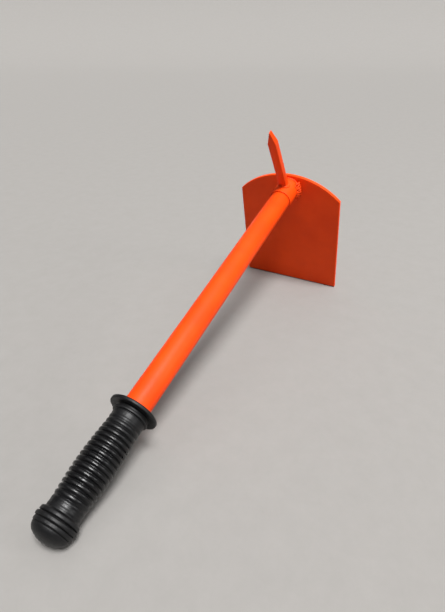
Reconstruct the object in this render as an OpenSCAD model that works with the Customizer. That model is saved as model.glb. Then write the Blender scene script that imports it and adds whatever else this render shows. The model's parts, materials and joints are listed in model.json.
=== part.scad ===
// Short-handled digging hoe with a pick spike, lying as it rests on a flat floor.
// Frame: +X runs from the blade towards the butt of the grip, level with the floor.
// +Z is up, the floor is z = 0, and the tool is symmetric about the plane y = 0.
// The origin is under the middle of the tool's length, on the floor.
// Each piece is drawn in the handle's own frame, where x is the distance along the
// handle from the blade's front face, and is then laid down by resting().

/* [Handle tube] */
// distance along the handle from the blade's front face to the end of the butt
reach = 476.5; // [390:0.5:700]
// outside diameter of the steel tube
tube_od = 25.4; // [22:0.1:32]
// wall thickness of the tube
tube_wall = 2; // [1.5:0.1:3]
// distance from the blade's front face to the tube's head end, on the axis
tube_head_gap = 3; // [2:0.5:8]

/* [Collar] */
// length of the sleeve that joins the tube to the blade
collar_len = 30; // [25:1:45]
// wall thickness of the sleeve
collar_wall = 1.5; // [1:0.1:3]

/* [Blade] */
// width of the blade
blade_w = 137; // [110:1:170]
// height of the blade from the top of its arch to the cutting edge
blade_h = 169.5; // [140:0.5:210]
// plate thickness of the blade
blade_t = 4.5; // [2.5:0.1:6]
// rise of the arched top above the two top corners
blade_rise = 28.4; // [20:0.1:36]
// height of the arch's top above the handle's axis
blade_above = 18.2; // [16:0.1:30]
// lean of the blade towards the grip, from square to the handle, in degrees
blade_lean = 2.8; // [0:0.1:10]

/* [Pick] */
// width of the pick bar, across the tool
pick_w = 10; // [8:0.1:14]
// thickness of the pick bar, along the tool
pick_t = 7.5; // [6:0.1:12]
// length of the pick from the top of the collar to its point
pick_len = 89; // [60:1:120]
// length of the ground point
pick_point = 16; // [8:0.5:25]
// width of the blunt edge left at the point
pick_edge_w = 1; // [0.6:0.1:3]
// length of the blunt edge, along the tool
pick_edge_len = 4.8; // [3:0.1:6]
// distance of the pick's front foot from the blade's front face
pick_x = 19; // [18:0.5:22]
// lean of the pick towards the grip, in degrees
pick_lean = 20; // [10:0.5:25]

/* [Welds] */
// radius of the weld bead between collar and blade
weld_r = 3.6; // [2.5:0.1:5]
// height of the weld cone around the foot of the pick
foot_weld_h = 4.5; // [3:0.1:8]
// reach of that weld cone beyond the bar's corners, at the collar
foot_weld_leg = 3; // [2:0.1:5]

/* [Grip] */
// length of the rubber grip, from its flange to the butt
grip_len = 118.2; // [112:0.1:140]
// how far the hand-stop flange stands out beyond the tube
flange_stand = 10.3; // [9:0.1:16]
// thickness of the flange
flange_t = 3.4; // [3:0.1:8]
// edge rounding of the flange's rim
flange_round = 1.3; // [0.6:0.1:1.4]
// width of the groove between the flange and the lip behind it
groove_w = 2.5; // [1.5:0.1:4]
// thickness of the lip
lip_t = 2.3; // [1.5:0.1:4]
// rubber thickness over the tube at the neck
neck_wall = 1.8; // [1.5:0.1:4]
// number of grip ribs
rib_count = 16; // [8:1:16]
// distance from rib to rib
rib_pitch = 4.68; // [4.5:0.01:4.8]
// height of the first rib above the neck
rib_rise = 0.9; // [0.8:0.05:2]
// depth of the grooves between the ribs
rib_depth = 1.2; // [0.8:0.05:1.3]
// extra height of the ribs in the middle, which makes the grip barrel-shaped
belly = 1.95; // [0:0.05:3]

/* [Hidden] */
$fn = 96;
tube_r = tube_od / 2;
collar_r = tube_r + collar_wall;

// blade outline: its arch is one circle through the top and the two top corners
arch_r = (pow(blade_w / 2, 2) + pow(blade_rise, 2)) / (2 * blade_rise);
blade_below = blade_h - blade_above;

// grip stations along the handle, in the grip's own x measured from the flange's face
grip_x = reach - grip_len;
neck_r = tube_r + neck_wall;
flange_r = tube_r + flange_stand;
hub_r = neck_r + 1;
lip_x = flange_t + groove_w;
lip_r = neck_r + 2.6;
lip_round = 0.6;
rib_round = 2.1;
rib_first = 19.4;
rib_last = rib_first + (rib_count - 1) * rib_pitch;
// butt beads, collar and closed round end, measured back from the end of the butt
bead_r = neck_r + 3.4;
bead_round = 1.9;
bead_x = grip_len - 14.8;
small_bead_r = neck_r + 2.6;
small_bead_round = 1.7;
small_bead_x = grip_len - 18.8;
butt_collar_r = neck_r + 2.4;
butt_collar_x = grip_len - 10.8;
butt_r = neck_r + 1.3;
shoulder_round = 6;
shoulder_out = 0.08;
shoulder_x = grip_len - 8.2;
shoulder_cr = butt_r + shoulder_out - shoulder_round;
// the end cap's sphere passes through the shoulder at 50 degrees
cap_join_r = shoulder_cr + shoulder_round * cos(50);
cap_h = grip_len - shoulder_x - shoulder_round * sin(50);
cap_r = (pow(cap_join_r, 2) + pow(cap_h, 2)) / (2 * cap_h);
// the tube stops where the rubber end is still thick
tube_end = grip_x + shoulder_x - 2;

function rib_x(i) = rib_first + i * rib_pitch;
function rib_r(i) = neck_r + rib_rise * (1 - 0.6 * i / (rib_count - 1))
    + belly * sin(180 * i / (rib_count - 1));

// resting attitude: the floor touches the blade's cutting edge and the butt's shoulder
edge_x = blade_below * sin(blade_lean);
edge_z = -blade_below * cos(blade_lean);
rest_dx = grip_x + shoulder_x - edge_x;
rest_dz = -shoulder_cr - edge_z;
tilt = atan2(rest_dz, rest_dx) - asin(shoulder_round / norm([rest_dx, rest_dz]));
floor_z = -edge_x * sin(tilt) + edge_z * cos(tilt);
// the tool's two ends along X: the blade's back lower edge and the end cap
back_x = edge_x - blade_t * cos(blade_lean);
back_z = edge_z - blade_t * sin(blade_lean);
low_x = back_x * cos(tilt) + back_z * sin(tilt);
high_x = (reach - cap_r) * cos(tilt) + cap_r;
mid_x = (low_x + high_x) / 2;

orange = [0.92, 0.20, 0.05];
orange_weld = [0.86, 0.18, 0.05];
black = [0.05, 0.05, 0.05];

// from the handle's frame to the tool lying on the floor
module resting() {
    translate([-mid_x, 0, -floor_z])
        rotate([0, tilt, 0])
            children();
}

// turns a shape made along +Z so that it runs along the handle
module along_handle() {
    rotate([0, 90, 0])
        children();
}

// the blade's own frame: z up the blade, x out of its front face
module blade_frame() {
    rotate([0, -blade_lean, 0])
        children();
}

// the pick's own frame: z up the bar, x = 0 on its front face, at the collar's top
module pick_frame() {
    translate([pick_x, 0, collar_r])
        rotate([0, pick_lean, 0])
            children();
}

// everything behind the blade's front face, for trimming what is welded to it
module behind_blade() {
    blade_frame()
        translate([-200, -200, -300])
            cube([200, 400, 600]);
}

// --- the steel pieces ------------------------------------------------------

module handle_tube() {
    color(orange)
        resting()
            along_handle()
                difference() {
                    translate([0, 0, tube_head_gap])
                        cylinder(r = tube_r, h = tube_end - tube_head_gap);
                    translate([0, 0, tube_head_gap - 1])
                        cylinder(r = tube_r - tube_wall, h = tube_end - tube_head_gap + 2);
                }
}

// short sleeve, cut at its head end to sit flat on the leaning blade
module collar() {
    color(orange)
        resting()
            difference() {
                along_handle()
                    difference() {
                        translate([0, 0, -10])
                            cylinder(r = collar_r, h = collar_len + 10);
                        translate([0, 0, -11])
                            cylinder(r = tube_r, h = collar_len + 12);
                    }
                behind_blade();
            }
}

module blade_outline() {
    arch_mid = blade_above - arch_r;
    intersection() {
        union() {
            translate([arch_mid, 0])
                circle(r = arch_r);
            translate([-blade_below, -blade_w / 2])
                square([blade_below + arch_mid, blade_w]);
        }
        translate([-blade_below, -blade_w / 2])
            square([blade_h + 1, blade_w]);
    }
}

module blade() {
    color(orange)
        resting()
            blade_frame()
                rotate([0, -90, 0])
                    linear_extrude(height = blade_t)
                        blade_outline();
}

// the bar seen from the front: parallel sides and a two-sided point
module pick_front() {
    polygon([
        [-pick_w / 2, -collar_r],
        [pick_w / 2, -collar_r],
        [pick_w / 2, pick_len - pick_point],
        [pick_edge_w / 2, pick_len],
        [-pick_edge_w / 2, pick_len],
        [-pick_w / 2, pick_len - pick_point]
    ]);
}

// the bar seen from the side: its back and front draw in a little at the point
module pick_side() {
    edge_in = (pick_t - pick_edge_len) / 2;
    polygon([
        [-pick_t, -collar_r],
        [0, -collar_r],
        [0, pick_len - pick_point],
        [-edge_in, pick_len],
        [-pick_t + edge_in, pick_len],
        [-pick_t, pick_len - pick_point]
    ]);
}

module pick_bar() {
    intersection() {
        rotate([90, 0, 90])
            translate([0, 0, -pick_t - 1])
                linear_extrude(height = pick_t + 2)
                    pick_front();
        rotate([90, 0, 0])
            translate([0, 0, -pick_w / 2 - 1])
                linear_extrude(height = pick_w + 2)
                    pick_side();
    }
}

// the bar's foot is cut to saddle the collar
module pick() {
    color(orange)
        resting()
            difference() {
                pick_frame()
                    pick_bar();
                along_handle()
                    translate([0, 0, -40])
                        cylinder(r = collar_r, h = 120);
            }
}

// bead all round the collar where it meets the blade, turned about the blade's normal
module collar_weld() {
    color(orange_weld)
        resting()
            difference() {
                blade_frame()
                    along_handle()
                        rotate_extrude()
                            intersection() {
                                translate([collar_r + 0.9, 0.8])
                                    circle(r = weld_r);
                                translate([collar_r - 1.5, 0])
                                    square([weld_r * 3, weld_r * 2]);
                            }
                along_handle()
                    translate([0, 0, -40])
                        cylinder(r = collar_r, h = 120);
            }
}

// cone of weld around the foot of the pick
module pick_weld() {
    corner = norm([pick_w, pick_t]) / 2;
    color(orange_weld)
        resting()
            difference() {
                pick_frame()
                    translate([-pick_t / 2, 0, -4.5])
                        cylinder(r1 = corner + foot_weld_leg, r2 = corner + 0.4,
                            h = foot_weld_h + 4.5);
                pick_frame()
                    translate([-pick_t, -pick_w / 2, -20])
                        cube([pick_t, pick_w, 60]);
                along_handle()
                    translate([0, 0, -40])
                        cylinder(r = collar_r, h = 120);
            }
}

// --- the rubber grip -------------------------------------------------------

// profiles are drawn as [radius, distance from the flange's face]
// a disc with a rounded rim
module disc_profile(r, t, round) {
    square([r - round, t]);
    translate([0, round])
        square([r, t - 2 * round]);
    for (x = [round, t - round])
        translate([r - round, x])
            circle(r = round);
}

// the hand-stop flange, the hub behind it and the hub's lip
module hand_stop_profile() {
    disc_profile(flange_r, flange_t, flange_round);
    square([hub_r, lip_x + lip_t]);
    translate([0, lip_x])
        disc_profile(lip_r, lip_t, lip_round);
}

module core_profile() {
    polygon(concat(
        [[0, 0], [neck_r, 0], [neck_r, rib_first - 3]],
        [for (i = [0 : rib_count - 1]) [rib_r(i) - rib_depth, rib_x(i)]],
        [[neck_r + 0.5, rib_last + 3], [neck_r + 0.5, small_bead_x], [0, small_bead_x]]
    ));
}

module ribs_profile() {
    for (i = [0 : rib_count - 1])
        translate([rib_r(i) - rib_round, rib_x(i)])
            circle(r = rib_round);
}

module butt_profile() {
    translate([0, small_bead_x])
        square([neck_r + 0.9, butt_collar_x - small_bead_x]);
    translate([small_bead_r - small_bead_round, small_bead_x])
        circle(r = small_bead_round);
    translate([bead_r - bead_round, bead_x])
        circle(r = bead_round);
    translate([0, bead_x])
        square([butt_collar_r, butt_collar_x - bead_x]);
    translate([0, bead_x])
        square([butt_r, shoulder_x - bead_x]);
    translate([shoulder_cr, shoulder_x])
        circle(r = shoulder_round);
    intersection() {
        translate([0, grip_len - cap_r])
            circle(r = cap_r);
        translate([0, shoulder_x])
            square([cap_join_r, grip_len]);
    }
}

module grip_profile() {
    difference() {
        union() {
            hand_stop_profile();
            core_profile();
            ribs_profile();
            butt_profile();
        }
        translate([0, -1])
            square([tube_r, tube_end - grip_x + 1]);
        translate([-100, -50])
            square([100, grip_len + 100]);
    }
}

module grip() {
    color(black)
        resting()
            along_handle()
                translate([0, 0, grip_x])
                    rotate_extrude()
                        grip_profile();
}

handle_tube();
collar();
blade();
pick();
collar_weld();
pick_weld();
grip();
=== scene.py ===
# %% [markdown]
# # A short-handled digging hoe with a pick
# The tool is a wide steel blade welded square to a short sleeve, with a pick spike
# standing on the sleeve. A straight steel tube is pushed into the sleeve and carries a
# ribbed rubber grip. All the steel is powder coated in one bright orange.
# The CAD model gives every piece its place. This lesson builds each piece again with the
# small shapes that catch light, and gives it a finish.

import json
import math
import random

import bmesh
import bpy
from mathutils import Matrix, Vector


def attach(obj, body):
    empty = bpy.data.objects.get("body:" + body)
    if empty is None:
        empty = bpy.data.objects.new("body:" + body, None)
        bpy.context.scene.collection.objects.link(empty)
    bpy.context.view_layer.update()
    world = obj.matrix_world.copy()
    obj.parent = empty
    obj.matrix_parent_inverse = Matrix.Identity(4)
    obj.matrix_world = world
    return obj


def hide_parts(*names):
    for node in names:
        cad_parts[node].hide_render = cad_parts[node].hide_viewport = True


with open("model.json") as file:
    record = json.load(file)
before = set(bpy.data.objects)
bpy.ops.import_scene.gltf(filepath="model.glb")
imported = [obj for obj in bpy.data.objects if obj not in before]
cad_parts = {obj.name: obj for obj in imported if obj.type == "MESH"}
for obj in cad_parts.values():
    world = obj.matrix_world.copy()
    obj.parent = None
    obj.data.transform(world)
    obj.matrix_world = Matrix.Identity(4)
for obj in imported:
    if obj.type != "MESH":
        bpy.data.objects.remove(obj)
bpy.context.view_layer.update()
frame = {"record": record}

# %% [markdown]
# ## The handle's own frame
# The tool rests on its cutting edge and on the butt of its grip, so the handle slopes.
# It is easier to model in the handle's own frame, where x is the distance along the
# handle from the blade's front face, and then to lay each finished mesh down with one
# matrix. The record's clip seat lies on the handle's axis, so it gives that matrix.

# %% Find the handle's axis
MM = 0.001
SEAT_FROM_BLADE = 190 * MM

seat = next(m for m in frame["record"]["mounts"] if m["name"] == "tube_clip_seat")
along = Vector(seat["axis"]).normalized()
across = Vector((0, 1, 0))
above = along.cross(across)
blade_point = Vector(seat["pos_m"]) - along * SEAT_FROM_BLADE
LAY_DOWN = Matrix.Translation(blade_point) @ Matrix((along, across, above)).transposed().to_4x4()
print("handle slopes down by", round(math.degrees(math.asin(-along.z)), 2), "degrees")

# %% [markdown]
# ## Driving sizes
# These are the same sizes as in the CAD model, in metres, and everything else is worked
# out from them. Distances along the handle start at the blade's front face.

# %% Driving sizes
TUBE_R = 12.7 * MM
TUBE_WALL = 2 * MM
REACH = 476.5 * MM
COLLAR_LEN = 30 * MM
COLLAR_R = TUBE_R + 1.5 * MM
BLADE_W = 137 * MM
BLADE_H = 169.5 * MM
BLADE_T = 4.5 * MM
BLADE_RISE = 28.4 * MM
BLADE_ABOVE = 18.2 * MM
BLADE_LEAN = math.radians(2.8)
PICK_W = 10 * MM
PICK_T = 7.5 * MM
PICK_LEN = 89 * MM
PICK_POINT = 16 * MM
PICK_X = 19 * MM
PICK_LEAN = math.radians(20)
GRIP_LEN = 118.2 * MM
GRIP_X = REACH - GRIP_LEN
NECK_R = TUBE_R + 1.8 * MM
print("blade to butt", round(REACH / MM, 1), "mm, tube", round(2 * TUBE_R / MM, 1), "mm across")

# %% [markdown]
# ## Camera, floor and light
# The camera stands to one side of the butt and looks down along the tool, so the grip is
# large and near and the blade is small and far. It is level, and is aimed at a point on
# the floor beside the tool.

# %% Camera
EYE = Vector((0.3639, 0.2085, 0.3351))
AIM = Vector((-0.1214, -0.0505, 0.0))
FOCAL_MM = 27.73
SENSOR_MM = 36
NEAREST = 10 * MM

camera_data = bpy.data.cameras.new("camera")
camera_data.lens = FOCAL_MM
camera_data.sensor_width = SENSOR_MM
camera_data.clip_start = NEAREST
camera = bpy.data.objects.new("camera", camera_data)
camera.location = EYE
camera.rotation_euler = (AIM - EYE).to_track_quat("-Z", "Y").to_euler()
bpy.context.scene.collection.objects.link(camera)
bpy.context.scene.camera = camera
tilt = math.degrees(math.asin(EYE.z / (AIM - EYE).length))
print("camera looks down by", round(tilt, 1), "degrees")

# %% [markdown]
# The light is that of a big hall. A very wide sun stands for the even light from all the
# roof, and a narrower one, high and a little to the right, for the nearest bank of roof
# lights. The narrower one gives the tube its close, soft-edged shadow and the ribs their
# highlights, and being a sun it lights the far floor as brightly as the near floor. A weak
# low lamp on the same side picks out the flank of the pick. The blade's face leans away from
# them all and lives mostly on what the floor throws back, so it stays deep. The angle of a
# sun, in degrees, is how wide it looks in the sky, and so how soft its shadows are.

# %% Light
def wide_sun(name, direction, strength, angle):
    sun = bpy.data.lights.new(name, "SUN")
    sun.energy = strength
    sun.angle = math.radians(angle)
    sun_object = bpy.data.objects.new(name, sun)
    sun_object.rotation_euler = Vector(direction).to_track_quat("-Z", "Y").to_euler()
    bpy.context.scene.collection.objects.link(sun_object)


def soft_lamp(name, place, aim, size, power):
    lamp = bpy.data.lights.new(name, "AREA")
    lamp.shape = "DISK"
    lamp.size = size
    lamp.energy = power
    lamp_object = bpy.data.objects.new(name, lamp)
    lamp_object.location = place
    lamp_object.rotation_euler = (Vector(aim) - Vector(place)).to_track_quat("-Z", "Y").to_euler()
    bpy.context.scene.collection.objects.link(lamp_object)


wide_sun("overcast_sky", direction=(0.0, -0.1, -1), strength=1.3, angle=92)
wide_sun("roof_light", direction=(-0.22, -0.31, -0.93), strength=5.0, angle=20)
soft_lamp("side_window", place=(-0.25, 1.6, 0.75), aim=(-0.18, 0, 0.2), size=0.5, power=7)

SURROUND_COLOUR = (1.0, 0.98, 0.96, 1)
SURROUND_STRENGTH = 0.08

world = bpy.data.worlds.new("pale_surround")
world.use_nodes = True
bpy.context.scene.world = world
surround = world.node_tree.nodes["Background"]
surround.inputs["Color"].default_value = SURROUND_COLOUR
surround.inputs["Strength"].default_value = SURROUND_STRENGTH
bpy.context.scene.view_settings.view_transform = "Standard"
print("lights", sorted(light.name for light in bpy.data.lights))

# %% [markdown]
# ## Finishes
# A finish is a small tree of nodes. Each one here reads Object coordinates, which are
# metres in the frame of the whole tool, so a noise with a scale of 1000 has features about
# a millimetre across. The helpers below add one node each and join it up.

# %% Helpers for node trees
def new_finish(name):
    finish = bpy.data.materials.new(name)
    finish.use_nodes = True
    nodes = finish.node_tree.nodes
    shader = nodes["Principled BSDF"]
    place = nodes.new("ShaderNodeTexCoord").outputs["Object"]
    return finish, shader, place


def link(finish, source, target):
    finish.node_tree.links.new(source, target)


def noise_field(finish, place, scale, detail=2.0, roughness=0.5, distortion=0.0):
    field = finish.node_tree.nodes.new("ShaderNodeTexNoise")
    field.inputs["Scale"].default_value = scale
    field.inputs["Detail"].default_value = detail
    field.inputs["Roughness"].default_value = roughness
    field.inputs["Distortion"].default_value = distortion
    link(finish, place, field.inputs["Vector"])
    return field.outputs["Fac"]


def spread(finish, value, low, high, out_low, out_high):
    """Stretch the part of a value between low and high over out_low to out_high."""
    ranger = finish.node_tree.nodes.new("ShaderNodeMapRange")
    sockets = ("From Min", "From Max", "To Min", "To Max")
    for socket, number in zip(sockets, (low, high, out_low, out_high)):
        ranger.inputs[socket].default_value = number
    link(finish, value, ranger.inputs["Value"])
    return ranger.outputs["Result"]


def blend_colours(finish, share, first, second):
    mixer = finish.node_tree.nodes.new("ShaderNodeMix")
    mixer.data_type = "RGBA"
    for socket, colour in ((mixer.inputs["A"], first), (mixer.inputs["B"], second)):
        if isinstance(colour, tuple):
            socket.default_value = (*colour, 1)
        else:
            link(finish, colour, socket)
    link(finish, share, mixer.inputs["Factor"])
    return mixer.outputs["Result"]


def bump(finish, height, distance, under=None):
    bumper = finish.node_tree.nodes.new("ShaderNodeBump")
    bumper.inputs["Distance"].default_value = distance
    bumper.inputs["Strength"].default_value = 1.0
    link(finish, height, bumper.inputs["Height"])
    if under is not None:
        link(finish, under, bumper.inputs["Normal"])
    return bumper.outputs["Normal"]


# %% [markdown]
# ### Orange powder coat
# Powder is sprayed on dry and melts in an oven, so it flows into a skin with a shallow
# waviness called orange peel, a few millimetres from crest to crest, with a finer grain on
# top. The colour varies a little with the thickness of the skin, and handling leaves faint
# dull patches. Two bumps give the skin, and two slow noises give the colour and the gloss.

# %% Orange powder coat
THICK_ORANGE = (0.86, 0.064, 0.002)
THIN_ORANGE = (0.78, 0.052, 0.0015)
COAT_IOR = 1.4


def powder_coat(name, peel_depth, dull, shine):
    coat, shader, place = new_finish(name)
    drift = noise_field(coat, place, scale=28, detail=3, roughness=0.55)
    fleck = noise_field(coat, place, scale=900, detail=2)
    base = blend_colours(coat, spread(coat, drift, 0.35, 0.65, 0, 1), THICK_ORANGE, THIN_ORANGE)
    base = blend_colours(coat, spread(coat, fleck, 0.55, 0.8, 0, 0.25), base, THIN_ORANGE)
    link(coat, base, shader.inputs["Base Color"])
    patches = noise_field(coat, place, scale=60, detail=4, roughness=0.6, distortion=0.4)
    gloss = spread(coat, patches, 0.3, 0.7, dull - 0.05, dull + 0.07)
    link(coat, gloss, shader.inputs["Roughness"])
    peel = noise_field(coat, place, scale=420, detail=1.5)
    grain = noise_field(coat, place, scale=2200, detail=2)
    skin = bump(coat, peel, peel_depth)
    skin = bump(coat, grain, peel_depth * 0.25, under=skin)
    link(coat, skin, shader.inputs["Normal"])
    shader.inputs["IOR"].default_value = COAT_IOR
    shader.inputs["Specular IOR Level"].default_value = shine
    print("finish", name)
    return coat


orange_coat = powder_coat("orange_powder_coat", peel_depth=0.10 * MM, dull=0.5, shine=0.25)
weld_coat = powder_coat("powder_coat_over_weld", peel_depth=0.18 * MM, dull=0.42, shine=0.3)

# %% [markdown]
# ### Black moulded rubber
# The grip is moulded in natural rubber. It is a very dark grey with a soft gloss on the
# crests of its ribs. Dust settles as a faint grey bloom, so the colour and the gloss follow
# the same cloudy noise, and a fine pitted bump breaks up the highlight. The palm polishes
# the middle ribs, so the roughness also grows with the distance from the middle of the grip.

# %% Black rubber
RUBBER_BLACK = (0.0022, 0.0022, 0.0027)
RUBBER_BLOOM = (0.0075, 0.0074, 0.0076)
RUBBER_IOR = 1.38
PALM = LAY_DOWN @ Vector((GRIP_X + 56 * MM, 0, 0))
POLISHED_TO = 26 * MM
UNWORN_FROM = 50 * MM


def moulded_rubber(name):
    rubber, shader, place = new_finish(name)
    cloud = noise_field(rubber, place, scale=70, detail=5, roughness=0.6, distortion=0.3)
    dust = noise_field(rubber, place, scale=1400, detail=3, roughness=0.7)
    bloom = spread(rubber, cloud, 0.35, 0.75, 0, 0.8)
    base = blend_colours(rubber, bloom, RUBBER_BLACK, RUBBER_BLOOM)
    base = blend_colours(rubber, spread(rubber, dust, 0.6, 0.85, 0, 0.35), base, RUBBER_BLOOM)
    link(rubber, base, shader.inputs["Base Color"])
    from_palm = rubber.node_tree.nodes.new("ShaderNodeVectorMath")
    from_palm.operation = "DISTANCE"
    from_palm.inputs[1].default_value = PALM
    link(rubber, place, from_palm.inputs[0])
    worn = spread(rubber, from_palm.outputs["Value"], POLISHED_TO, UNWORN_FROM, 0, 0.2)
    gloss = rubber.node_tree.nodes.new("ShaderNodeMath")
    link(rubber, spread(rubber, cloud, 0.3, 0.75, 0.24, 0.34), gloss.inputs[0])
    link(rubber, worn, gloss.inputs[1])
    link(rubber, gloss.outputs["Value"], shader.inputs["Roughness"])
    pits = noise_field(rubber, place, scale=1600, detail=3)
    ripple = noise_field(rubber, place, scale=260, detail=2)
    skin = bump(rubber, ripple, 0.25 * MM)
    skin = bump(rubber, pits, 0.08 * MM, under=skin)
    link(rubber, skin, shader.inputs["Normal"])
    shader.inputs["IOR"].default_value = RUBBER_IOR
    print("finish", name)
    return rubber


black_rubber = moulded_rubber("black_moulded_rubber")

# %% [markdown]
# ## Floor
# A plain pale floor that sweeps up behind the tool, as paper does in a studio, so that the
# camera sees no horizon. A line is laid flat, its far end is spun up through almost a quarter
# turn, the whole line is drawn out sideways, and the sheet is turned to face the camera.

# %% Floor
PAPER_DARK = (0.238, 0.228, 0.216)
PAPER_LIGHT = (0.254, 0.243, 0.231)


def pale_floor():
    near, far, bend, half_width = 4.0, -3.5, 3.0, 9.0
    sweep, facing = math.radians(80), math.radians(28)
    sheet = bmesh.new()
    start = sheet.verts.new((near, -half_width, 0))
    end = sheet.verts.new((far, -half_width, 0))
    sheet.edges.new((start, end))
    bmesh.ops.spin(
        sheet, geom=[end], cent=(far, 0, bend), axis=(0, 1, 0), angle=sweep, steps=24
    )
    wide = bmesh.ops.extrude_edge_only(sheet, edges=sheet.edges[:])["geom"]
    moved = [v for v in wide if isinstance(v, bmesh.types.BMVert)]
    bmesh.ops.translate(sheet, verts=moved, vec=(0, 2 * half_width, 0))
    bmesh.ops.recalc_face_normals(sheet, faces=sheet.faces[:])
    sheet.transform(Matrix.Rotation(facing, 4, "Z"))
    mesh = bpy.data.meshes.new("floor")
    sheet.to_mesh(mesh)
    sheet.free()
    mesh.shade_smooth()
    floor = bpy.data.objects.new("floor", mesh)
    bpy.context.scene.collection.objects.link(floor)
    paper, shader, place = new_finish("pale_floor")
    mottle = noise_field(paper, place, scale=45, detail=8, roughness=0.75)
    share = spread(paper, mottle, 0.3, 0.7, 0, 1)
    tone = blend_colours(paper, share, PAPER_DARK, PAPER_LIGHT)
    link(paper, tone, shader.inputs["Base Color"])
    shader.inputs["Roughness"].default_value = 0.85
    mesh.materials.append(paper)
    print("floor bends up", -far, "m behind the tool")


pale_floor()

# %% [markdown]
# ## From a shaped bmesh to a finished piece
# Every piece ends the same way: its doubles are merged, its faces are turned outwards, it is
# laid down with the handle's matrix, and it takes the place of its CAD node. Faces that
# meet at less than the angle SHARP are shaded as one surface, so small rounded edges look
# round and crisp edges stay crisp.

# %% Finish a piece
SHARP = math.radians(34)
SAME_PLACE = 1e-6
NO_LENGTH = 1e-7


def finish_piece(shape, name, node, finish):
    bmesh.ops.remove_doubles(shape, verts=shape.verts[:], dist=SAME_PLACE)
    bmesh.ops.dissolve_degenerate(shape, edges=shape.edges[:], dist=NO_LENGTH)
    loose = [edge for edge in shape.edges if not edge.link_faces]
    bmesh.ops.delete(shape, geom=loose, context="EDGES")
    bmesh.ops.recalc_face_normals(shape, faces=shape.faces[:])
    if shape.calc_volume(signed=True) < 0:
        bmesh.ops.reverse_faces(shape, faces=shape.faces[:])
    shape.transform(LAY_DOWN)
    mesh = bpy.data.meshes.new(name)
    shape.to_mesh(mesh)
    open_edges = sum(not edge.is_manifold for edge in shape.edges)
    shape.free()
    mesh.shade_smooth()
    mesh.set_sharp_from_angle(angle=SHARP)
    mesh.materials.append(finish)
    piece = bpy.data.objects.new(name, mesh)
    bpy.context.scene.collection.objects.link(piece)
    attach(piece, "root")
    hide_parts(node)
    print(name, len(mesh.polygons), "faces,", open_edges, "open edges")


# %% [markdown]
# ## Turned pieces
# The tube, the sleeve and the grip are all bodies of revolution. Each starts as the closed
# outline of half its section, drawn with sharp corners. A bevel on chosen corners rounds
# them in the flat outline, which is much easier than rounding edges afterwards, and one
# full spin about the handle's axis makes the body. The spin is told to merge its last ring
# with its first.

# %% Spin a rounded outline about the handle
AROUND = 144


def turned(corners, arc_steps):
    """corners: (distance along the handle, radius, rounding), in order round the section."""
    shape = bmesh.new()
    points = [shape.verts.new((x, 0, radius)) for x, radius, _ in corners]
    shape.faces.new(points)
    for rounding in sorted({corner[2] for corner in corners if corner[2]}):
        chosen = [p for p, corner in zip(points, corners) if corner[2] == rounding]
        bmesh.ops.bevel(
            shape,
            geom=chosen,
            offset=rounding,
            offset_type="OFFSET",
            segments=arc_steps,
            profile=0.5,
            affect="VERTICES",
            material=-1,
        )
    bmesh.ops.delete(shape, geom=shape.faces[:], context="FACES_ONLY")
    bmesh.ops.spin(
        shape,
        geom=shape.verts[:] + shape.edges[:],
        cent=(0, 0, 0),
        axis=(1, 0, 0),
        angle=math.tau,
        steps=AROUND,
        use_merge=True,
    )
    return shape


# %% [markdown]
# ## Handle tube
# A straight piece of steel tube with a two millimetre wall. Its ends are hidden, one in the
# sleeve and one in the rubber, but they are still cut ends with a small chamfer.

# %% Handle tube
TUBE_HEAD = 3 * MM
BUTT_WALL = 10.2 * MM
TUBE_BUTT = REACH - BUTT_WALL


def handle_tube():
    bore = TUBE_R - TUBE_WALL
    chamfer = 0.4 * MM
    tube = turned(
        [
            (TUBE_HEAD, bore, chamfer),
            (TUBE_HEAD, TUBE_R, chamfer),
            (TUBE_BUTT, TUBE_R, chamfer),
            (TUBE_BUTT, bore, chamfer),
        ],
        arc_steps=2,
    )
    finish_piece(tube, "handle_tube_coated", "handle_tube", orange_coat)


handle_tube()

# %% [markdown]
# ## Sleeve
# The sleeve is a short piece of the next size of tube. Its end face shows as a thin ring
# round the handle, with a hairline gap where the tube goes in. Its other end is cut to the
# lean of the blade, which a bisect does in one step, so the sleeve is first spun too long.

# %% Sleeve
BLADE_NORMAL = Vector((math.cos(BLADE_LEAN), 0, math.sin(BLADE_LEAN)))


def sleeve():
    gap = 0.12 * MM
    lip = 0.35 * MM
    hold = 1.2 * MM
    mouth, mouth_end = 3 * MM, 3.2 * MM
    spare = 8 * MM
    body = turned(
        [
            (-spare, TUBE_R, 0),
            (-spare, COLLAR_R, 0),
            (COLLAR_LEN - hold, COLLAR_R, 0),
            (COLLAR_LEN, COLLAR_R, lip),
            (COLLAR_LEN, TUBE_R + gap, lip),
            (COLLAR_LEN - mouth, TUBE_R + gap, 0),
            (COLLAR_LEN - mouth_end, TUBE_R, 0),
        ],
        arc_steps=3,
    )
    bmesh.ops.remove_doubles(body, verts=body.verts[:], dist=SAME_PLACE)
    cut = bmesh.ops.bisect_plane(
        body,
        geom=body.verts[:] + body.edges[:] + body.faces[:],
        plane_co=(0, 0, 0),
        plane_no=-BLADE_NORMAL,
        clear_outer=True,
    )
    rim = [item for item in cut["geom_cut"] if isinstance(item, bmesh.types.BMEdge)]
    bmesh.ops.bridge_loops(body, edges=rim)
    finish_piece(body, "collar_coated", "collar", orange_coat)


sleeve()

# %% [markdown]
# ## Blade
# The blade is a flat plate with straight sides and an arched top. A single vertex is spun
# through the arch, the arch is extruded down to the cutting edge, and the columns are
# subdivided, so that the plate has small even faces and not long thin strips. Extruding the
# whole sheet backwards gives it its thickness, and a bevel softens the cut edges, which the
# coating has rounded. Last, a slanting cut along the bottom takes off the front corner, as a
# few strokes of a grinder do to start a cutting edge.

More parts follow.
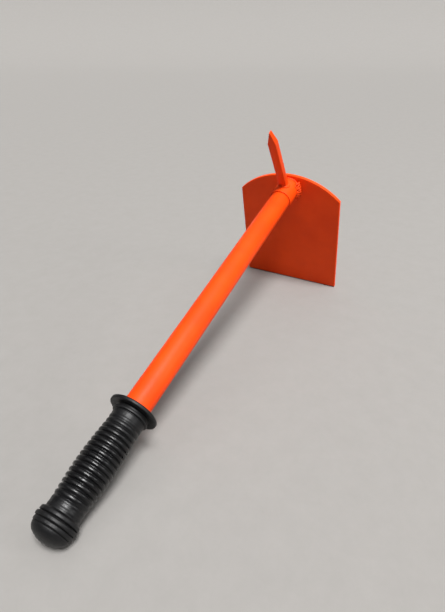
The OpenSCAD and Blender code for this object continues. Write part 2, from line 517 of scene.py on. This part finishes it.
# %% Blade
PLATE_ROWS = 52
ARCH_STEPS = 60
CUT_EDGE_ANGLE = math.radians(60)
EDGE_SOFTEN = 0.55 * MM
GROUND_HEIGHT = 1.7 * MM
GROUND_SLOPE = math.radians(40)


def blade_plate():
    arch_r = ((BLADE_W / 2) ** 2 + BLADE_RISE**2) / (2 * BLADE_RISE)
    centre = BLADE_ABOVE - arch_r
    half_angle = math.asin(BLADE_W / 2 / arch_r)
    foot = BLADE_ABOVE - BLADE_H
    plate = bmesh.new()
    corner = plate.verts.new((0, -BLADE_W / 2, centre + arch_r * math.cos(half_angle)))
    bmesh.ops.spin(
        plate,
        geom=[corner],
        cent=(0, 0, centre),
        axis=(-1, 0, 0),
        angle=2 * half_angle,
        steps=ARCH_STEPS,
    )
    drop = bmesh.ops.extrude_edge_only(plate, edges=plate.edges[:])["geom"]
    low = [v for v in drop if isinstance(v, bmesh.types.BMVert)]
    for vert in low:
        vert.co.z = foot
    columns = [e for e in plate.edges if abs(e.verts[0].co.y - e.verts[1].co.y) < SAME_PLACE]
    bmesh.ops.subdivide_edges(plate, edges=columns, cuts=PLATE_ROWS, use_grid_fill=True)
    bmesh.ops.recalc_face_normals(plate, faces=plate.faces[:])
    back = bmesh.ops.extrude_face_region(plate, geom=plate.faces[:], use_keep_orig=True)["geom"]
    back_verts = [v for v in back if isinstance(v, bmesh.types.BMVert)]
    bmesh.ops.translate(plate, verts=back_verts, vec=(-BLADE_T, 0, 0))
    bmesh.ops.recalc_face_normals(plate, faces=plate.faces[:])
    rim = [e for e in plate.edges if e.is_manifold and e.calc_face_angle() > CUT_EDGE_ANGLE]
    bmesh.ops.bevel(
        plate,
        geom=rim,
        offset=EDGE_SOFTEN,
        offset_type="OFFSET",
        segments=3,
        profile=0.5,
        affect="EDGES",
        material=-1,
    )
    ground = bmesh.ops.bisect_plane(
        plate,
        geom=plate.verts[:] + plate.edges[:] + plate.faces[:],
        plane_co=(0, 0, foot + GROUND_HEIGHT),
        plane_no=(math.cos(GROUND_SLOPE), 0, -math.sin(GROUND_SLOPE)),
        clear_outer=True,
    )
    cut_edges = [item for item in ground["geom_cut"] if isinstance(item, bmesh.types.BMEdge)]
    bmesh.ops.edgeloop_fill(plate, edges=cut_edges)
    plate.transform(Matrix.Rotation(-BLADE_LEAN, 4, "Y"))
    finish_piece(plate, "blade_coated", "blade", orange_coat)


blade_plate()

# %% [markdown]
# ## Pick
# The pick is a length of flat bar. Its end is ground on all four sides to a short blunt
# chisel point. A cube is stretched into the bar, its top face is extruded and drawn in to
# make the point, and all its long edges get a small bevel, because hot rolled bar has soft
# corners. It is then leaned towards the grip and its foot is trimmed to sit on the sleeve.

# %% Pick
def pick_bar():
    point_w, point_t = 1.2 * MM, 4.8 * MM
    shank = PICK_LEN - PICK_POINT
    sunk, kept_below = 8 * MM, 1.2 * MM
    soften, edge_angle = 0.45 * MM, math.radians(12)
    bar = bmesh.new()
    bmesh.ops.create_cube(bar, size=1)
    bmesh.ops.scale(bar, vec=(PICK_T, PICK_W, shank + sunk), verts=bar.verts[:])
    bmesh.ops.translate(bar, vec=(-PICK_T / 2, 0, (shank - sunk) / 2), verts=bar.verts[:])
    top = max(bar.faces, key=lambda face: face.calc_center_median().z)
    tip = bmesh.ops.extrude_discrete_faces(bar, faces=[top])["faces"][0]
    bmesh.ops.translate(bar, vec=(0, 0, PICK_POINT), verts=tip.verts[:])
    squeeze = Matrix.Translation((PICK_T / 2, 0, 0))
    drawn_in = (point_t / PICK_T, point_w / PICK_W, 1)
    bmesh.ops.scale(bar, vec=drawn_in, verts=tip.verts[:], space=squeeze)
    bmesh.ops.remove_doubles(bar, verts=bar.verts[:], dist=SAME_PLACE)
    bmesh.ops.bevel(
        bar,
        geom=[e for e in bar.edges if e.is_manifold and e.calc_face_angle() > edge_angle],
        offset=soften,
        offset_type="OFFSET",
        segments=2,
        profile=0.5,
        affect="EDGES",
        material=-1,
    )
    bar.transform(Matrix.Translation((PICK_X, 0, COLLAR_R)) @ Matrix.Rotation(PICK_LEAN, 4, "Y"))
    cut = bmesh.ops.bisect_plane(
        bar,
        geom=bar.verts[:] + bar.edges[:] + bar.faces[:],
        plane_co=(0, 0, COLLAR_R - kept_below),
        plane_no=(0, 0, -1),
        clear_outer=True,
    )
    rim = [item for item in cut["geom_cut"] if isinstance(item, bmesh.types.BMEdge)]
    bmesh.ops.edgeloop_fill(bar, edges=rim)
    finish_piece(bar, "pick_coated", "pick", orange_coat)


pick_bar()

# %% [markdown]
# ## Welds
# The welds were laid by hand, so they are rough: a row of overlapping blobs of different
# sizes. Each blob is a small squashed ball, and a voxel remesh melts the row into one
# skin. Joining the balls with booleans would leave a sharp crease at every overlap, while
# the remesh and a little smoothing round it, as molten steel does. The seeds are fixed, so
# each bead is the same every time.

# %% Melt a row of blobs into a bead
SQUASH = 0.72


def melt(blobs, name, node, voxel, smoothing):
    """blobs: (centre, radius, direction it is flattened along), in the handle's frame."""
    row = bmesh.new()
    for centre, radius, flat in blobs:
        turn = flat.to_track_quat("Z", "Y").to_matrix().to_4x4()
        ball = Matrix.Translation(centre) @ turn @ Matrix.Diagonal((1.0, 1.0, SQUASH, 1.0))
        bmesh.ops.create_icosphere(row, subdivisions=3, radius=radius, matrix=ball)
    rough = bpy.data.meshes.new(name + "_row")
    row.to_mesh(rough)
    row.free()
    carrier = bpy.data.objects.new(name + "_row", rough)
    bpy.context.scene.collection.objects.link(carrier)
    remesh = carrier.modifiers.new("melt", "REMESH")
    remesh.mode = "VOXEL"
    remesh.voxel_size = voxel
    bpy.context.view_layer.update()
    melted = carrier.evaluated_get(bpy.context.evaluated_depsgraph_get()).to_mesh()
    bead = bmesh.new()
    bead.from_mesh(melted)
    bpy.data.objects.remove(carrier)
    bpy.data.meshes.remove(rough)
    for _ in range(smoothing):
        bmesh.ops.smooth_vert(
            bead,
            verts=bead.verts[:],
            factor=0.5,
            use_axis_x=True,
            use_axis_y=True,
            use_axis_z=True,
        )
    finish_piece(bead, name, node, weld_coat)


# %% [markdown]
# ### Weld between sleeve and blade
# This bead runs right round the sleeve. It is slight near the top, where the torch could
# hardly reach past the pick, and grows towards the underside. On one flank it was built up
# in several short passes that never quite flowed together, so four extra rows of smaller
# blobs climb from the sleeve on to the blade there, and the bead is smoothed only once.
# The passes' places are turns round the sleeve, in degrees from its top.

# %% Weld between sleeve and blade
LIGHTEST_TURN = math.radians(15)
PASS_START, PASS_STEP, PASS_WANDER = 54, 10.5, 3


def ring_weld():
    rng = random.Random(7)
    count = 46
    passes, blobs_a_pass = 4, 10
    blobs = []
    for i in range(count):
        turn = math.tau * (i + rng.uniform(-0.3, 0.3)) / count
        outwards = Vector((0, math.sin(turn), math.cos(turn)))
        heavy = 0.5 - 0.5 * math.cos(turn - LIGHTEST_TURN)
        radius = (1.4 + 1.1 * heavy + rng.uniform(-0.2, 0.3)) * MM
        reach = COLLAR_R + (1.4 * heavy + rng.uniform(-0.3, 0.3)) * MM
        centre = outwards * reach
        off_blade = (0.2 + 1.0 * heavy + rng.uniform(0, 0.6)) * MM
        centre.x = -centre.z * math.sin(BLADE_LEAN) + off_blade
        blobs.append((centre, radius, (outwards + BLADE_NORMAL).normalized()))
    for row in range(passes):
        for column in range(blobs_a_pass):
            wander = rng.uniform(-PASS_WANDER, PASS_WANDER)
            turn = math.radians(PASS_START + PASS_STEP * column + wander)
            outwards = Vector((0, math.sin(turn), math.cos(turn)))
            off_sleeve = (0.5 + 1.05 * row + rng.uniform(-0.3, 0.3)) * MM
            centre = outwards * (COLLAR_R + off_sleeve)
            off_blade = (6.2 - 1.5 * row + rng.uniform(-0.5, 0.5)) * MM
            centre.x = -centre.z * math.sin(BLADE_LEAN) + off_blade
            blobs.append((centre, rng.uniform(1.05, 1.5) * MM, outwards))
    melt(blobs, "collar_weld_bead", "collar_weld", voxel=0.3 * MM, smoothing=1)


ring_weld()

# %% [markdown]
# ### Weld round the foot of the pick
# A single row of blobs follows the outline of the bar where it meets the sleeve. Each blob
# sits on the curve of the sleeve and is flattened on the slant, so the bead fills the
# corner. It is taken to be one steady run, so it is smoothed more than the other.

# %% Weld round the foot of the pick
def foot_weld():
    rng = random.Random(19)
    count = 18
    beside_t, beside_w = 1.4 * MM, 1.0 * MM
    foot = Vector((PICK_X - PICK_T / 2 / math.cos(PICK_LEAN), 0, COLLAR_R))
    blobs = []
    for i in range(count):
        turn = math.tau * i / count
        along_t = math.cos(turn) * (PICK_T / 2 + beside_t)
        along_w = math.sin(turn) * (PICK_W / 2 + beside_w)
        side = Vector((along_t, along_w, 0))
        centre = foot + side
        centre.z = math.sqrt(COLLAR_R**2 - centre.y**2) + rng.uniform(0.0, 0.8) * MM
        radius = rng.uniform(1.9, 2.8) * MM
        blobs.append((centre, radius, (side.normalized() + Vector((0, 0, 1))).normalized()))
    melt(blobs, "pick_weld_bead", "pick_weld", voxel=0.35 * MM, smoothing=4)


foot_weld()

# %% [markdown]
# ## Rubber grip
# The grip is one moulding: a thin hand-stop flange with a rounded rim, a deep groove and a
# lip behind it, a plain neck, sixteen ribs that swell to a barrel in the middle, two beads,
# a lower third one, and a closed round butt. The outline below walks once round its half
# section, from the flange's face along the outside to the butt, and back along the bore.
# Modelling the ribs as one outline keeps them a single skin, as in the mould.

# %% Rubber grip
RIB_COUNT = 16
RIB_PITCH = 4.68 * MM
RIB_FIRST = 19.4 * MM
RIB_RISE = 0.9 * MM
RIB_DEPTH = 2.1 * MM
BELLY = 1.95 * MM


def rib_height(i):
    """The radius of a crest. The ribs swell in the middle and end lower than they begin."""
    share = min(max(i / (RIB_COUNT - 1), 0), 1)
    swell = BELLY * math.sin(math.pi * share)
    return NECK_R + RIB_RISE * (1 - 0.6 * share) + swell


def groove_depth(i):
    """The relief fades towards both ends of the ribbed part."""
    fade_in = min(1.0, 0.35 + 0.22 * i)
    fade_out = min(1.0, max(0.12, 0.15 + 0.24 * (RIB_COUNT - i)))
    return RIB_DEPTH * min(fade_in, fade_out)


def rib_corners():
    """Each rib is a crest between two narrow grooves, with one faint extra rib at each end."""
    half_crest = 1.3 * MM
    half_rib = 2.0 * MM
    shoulder = 0.34 * MM
    corners = []
    for i in range(-1, RIB_COUNT + 1):
        x, crest = RIB_FIRST + i * RIB_PITCH, rib_height(i)
        corners += [
            (x - half_rib, crest - groove_depth(i), 0.2 * MM),
            (x - half_crest, crest - shoulder, 0.6 * MM),
            (x, crest, 0.7 * MM),
            (x + half_crest, crest - shoulder, 0.6 * MM),
            (x + half_rib, crest - groove_depth(i + 1), 0.2 * MM),
        ]
    return corners


def rubber_grip():
    flange_r, flange_t = TUBE_R + 10.3 * MM, 3.4 * MM
    groove_r = NECK_R + 0.2 * MM
    lip_r, lip_x, lip_end = NECK_R + 2.6 * MM, 5.9 * MM, 8.2 * MM
    butt = GRIP_LEN
    tube_end = TUBE_BUTT - GRIP_X
    outline = [
        # flange
        (0, TUBE_R + 0.5 * MM, 0.3 * MM),
        (0, flange_r, 1.2 * MM),
        (flange_t, flange_r, 1.1 * MM),
        (flange_t - 0.1 * MM, NECK_R + 3.1 * MM, 0.5 * MM),
        (flange_t - 0.5 * MM, NECK_R + 2.5 * MM, 0.3 * MM),
        # groove, lip and neck
        (flange_t + 0.2 * MM, groove_r, 0.4 * MM),
        (lip_x - 0.1 * MM, groove_r, 0.4 * MM),
        (lip_x, lip_r, 0.7 * MM),
        (lip_end, lip_r, 0.6 * MM),
        (lip_end + 0.2 * MM, NECK_R + 0.7 * MM, 0.25 * MM),
        (lip_end + 0.8 * MM, NECK_R + 0.6 * MM, 0.25 * MM),
        (lip_end + 1.2 * MM, NECK_R + 1.1 * MM, 0.4 * MM),
        (lip_end + 3.0 * MM, NECK_R + 0.75 * MM, 0.6 * MM),
    ]
    outline += rib_corners()
    outline += [
        # first bead
        (butt - 21.4 * MM, NECK_R + 0.5 * MM, 0.3 * MM),
        (butt - 20.5 * MM, NECK_R + 2.4 * MM, 0.8 * MM),
        (butt - 17.6 * MM, NECK_R + 2.7 * MM, 0.8 * MM),
        (butt - 17.1 * MM, NECK_R + 0.7 * MM, 0.2 * MM),
        # second bead
        (butt - 16.8 * MM, NECK_R + 0.7 * MM, 0.2 * MM),
        (butt - 16.3 * MM, NECK_R + 3.3 * MM, 0.8 * MM),
        (butt - 13.4 * MM, NECK_R + 3.4 * MM, 0.8 * MM),
        (butt - 12.9 * MM, NECK_R + 1.3 * MM, 0.2 * MM),
        # low third bead
        (butt - 12.4 * MM, NECK_R + 2.4 * MM, 0.3 * MM),
        (butt - 9.8 * MM, NECK_R + 2.4 * MM, 0.7 * MM),
        (butt - 9.4 * MM, NECK_R + 0.9 * MM, 0.2 * MM),
        # round butt
        (butt - 8.8 * MM, NECK_R + 1.6 * MM, 0.3 * MM),
        (butt - 5.6 * MM, NECK_R + 1.1 * MM, 3.4 * MM),
        (butt - 0.9 * MM, 8.6 * MM, 4.5 * MM),
        (butt, 0, 0),
        # bore
        (tube_end, 0, 0),
        (tube_end, TUBE_R, 0),
        (1.0 * MM, TUBE_R, 0),
    ]
    placed = [(GRIP_X + x, radius, rounding) for x, radius, rounding in outline]
    moulding = turned(placed, arc_steps=4)
    finish_piece(moulding, "rubber_grip", "grip", black_rubber)


rubber_grip()
